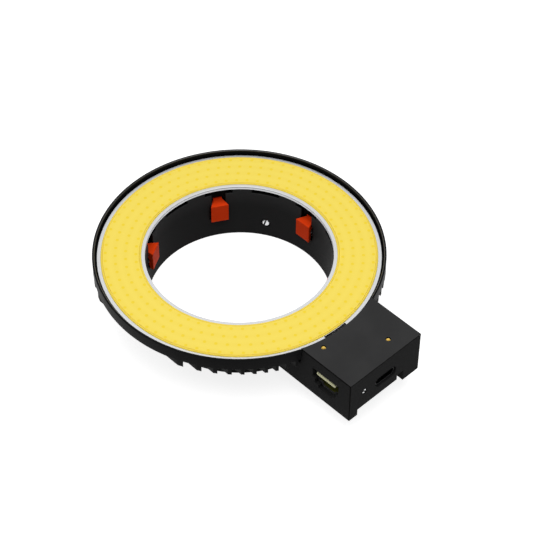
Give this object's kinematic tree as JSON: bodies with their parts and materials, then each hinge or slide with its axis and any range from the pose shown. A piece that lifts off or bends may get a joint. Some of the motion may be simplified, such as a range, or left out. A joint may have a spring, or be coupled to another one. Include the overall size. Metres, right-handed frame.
{
  "type": "microscope ring light",
  "caption": "Ring light that slips over a microscope objective: a lit annulus on a finned head, a gripping collar and an electronics box with two sockets.",
  "frame": {"origin": "on the axis of the bore, in the plane of the mounting collar's lower edge", "axes": "+Z out of the light face, +X from the bore along the electronics box, +Y to the side without the modular jack"},
  "size_m": [0.1219, 0.1026, 0.0255],
  "materials": {
    "anodised_housing": "black anodised, satin",
    "box_plastic": "fine moulded grain, satin black",
    "connector_plastic": "moulded, semi-matt black",
    "light_board_metal": "bright rolled",
    "phosphor": "cast, satin",
    "dam_silicone": "dispensed bead, glossy",
    "thermal_silicone": "matt",
    "latch_plastic": "moulded, semi-gloss",
    "spring_steel": "rolled strip",
    "fastener_steel": "turned, nickel plated",
    "socket_steel": "deep drawn",
    "contact_gold": "gold plated",
    "light_pipe_amber": "clear amber",
    "circuit_laminate": "solder mask, satin",
    "capacitor_can": "drawn can",
    "lead_rubber": "silicone insulation"
  },
  "bodies": {
    "head": {"finned_heat_sink": "anodised_housing", "mounting_collar": "anodised_housing", "electronics_box": "box_plastic", "base_cover": "box_plastic", "modular_jack": "connector_plastic", "usb_tongue": "connector_plastic", "terminal_block": "connector_plastic", "power_inductor": "connector_plastic", "controller_chip": "connector_plastic", "light_board": "light_board_metal", "phosphor_layer": "phosphor", "inner_dam": "dam_silicone", "outer_dam": "dam_silicone", "thermal_pad": "thermal_silicone", "latch_spring_1": "spring_steel", "latch_spring_2": "spring_steel", "latch_spring_3": "spring_steel", "latch_spring_4": "spring_steel", "latch_spring_5": "spring_steel", "latch_spring_6": "spring_steel", "latch_pin_1": "fastener_steel", "latch_pin_2": "fastener_steel", "latch_pin_3": "fastener_steel", "latch_pin_4": "fastener_steel", "latch_pin_5": "fastener_steel", "latch_pin_6": "fastener_steel", "collar_screw_1": "fastener_steel", "collar_screw_2": "fastener_steel", "collar_screw_3": "fastener_steel", "collar_screw_4": "fastener_steel", "collar_screw_5": "fastener_steel", "cover_screw_1": "fastener_steel", "cover_screw_2": "fastener_steel", "cover_screw_3": "fastener_steel", "box_screw_1": "fastener_steel", "box_screw_2": "fastener_steel", "end_screw": "fastener_steel", "usb_shell": "socket_steel", "jack_contacts": "contact_gold", "left_light_pipe": "light_pipe_amber", "right_light_pipe": "light_pipe_amber", "circuit_board": "circuit_laminate", "filter_capacitor": "capacitor_can", "lead_1": "lead_rubber", "lead_2": "lead_rubber"},
    "latch_body_1": {"latch_1": "latch_plastic"},
    "latch_body_2": {"latch_2": "latch_plastic"},
    "latch_body_3": {"latch_3": "latch_plastic"},
    "latch_body_4": {"latch_4": "latch_plastic"},
    "latch_body_5": {"latch_5": "latch_plastic"},
    "latch_body_6": {"latch_6": "latch_plastic"},
    "clamp_body_1": {"clamp_screw_1": "fastener_steel"},
    "clamp_body_2": {"clamp_screw_2": "fastener_steel"},
    "clamp_body_3": {"clamp_screw_3": "fastener_steel"}
  },
  "joints": [
    {"name": "latch_1_turn", "type": "hinge", "parent": "head", "child": "latch_body_1", "pos_m": [0.02936, 0.01695, 0.0154], "axis": [0.5, -0.866, 0], "range_deg": [0, 8], "stiffness_Nm_per_rad": 0.2, "deforming": ["latch_spring_1"]},
    {"name": "latch_2_turn", "type": "hinge", "parent": "head", "child": "latch_body_2", "pos_m": [0, 0.0339, 0.0154], "axis": [1, 0, 0], "range_deg": [0, 8], "stiffness_Nm_per_rad": 0.2, "deforming": ["latch_spring_2"]},
    {"name": "latch_3_turn", "type": "hinge", "parent": "head", "child": "latch_body_3", "pos_m": [-0.02936, 0.01695, 0.0154], "axis": [0.5, 0.866, 0], "range_deg": [0, 8], "stiffness_Nm_per_rad": 0.2, "deforming": ["latch_spring_3"]},
    {"name": "latch_4_turn", "type": "hinge", "parent": "head", "child": "latch_body_4", "pos_m": [-0.02936, -0.01695, 0.0154], "axis": [-0.5, 0.866, 0], "range_deg": [0, 8], "stiffness_Nm_per_rad": 0.2, "deforming": ["latch_spring_4"]},
    {"name": "latch_5_turn", "type": "hinge", "parent": "head", "child": "latch_body_5", "pos_m": [0, -0.0339, 0.0154], "axis": [-1, 0, 0], "range_deg": [0, 8], "stiffness_Nm_per_rad": 0.2, "deforming": ["latch_spring_5"]},
    {"name": "latch_6_turn", "type": "hinge", "parent": "head", "child": "latch_body_6", "pos_m": [0.02936, -0.01695, 0.0154], "axis": [-0.5, -0.866, 0], "range_deg": [0, 8], "stiffness_Nm_per_rad": 0.2, "deforming": ["latch_spring_6"]},
    {"name": "clamp_screw_1_travel", "type": "slide", "parent": "head", "child": "clamp_body_1", "axis": [-1, 0, 0], "range_m": [-0.001, 0.003]},
    {"name": "clamp_screw_2_travel", "type": "slide", "parent": "head", "child": "clamp_body_2", "axis": [0.5, -0.866, 0], "range_m": [-0.001, 0.003]},
    {"name": "clamp_screw_3_travel", "type": "slide", "parent": "head", "child": "clamp_body_3", "axis": [0.5, 0.866, 0], "range_m": [-0.001, 0.003]}
  ]
}
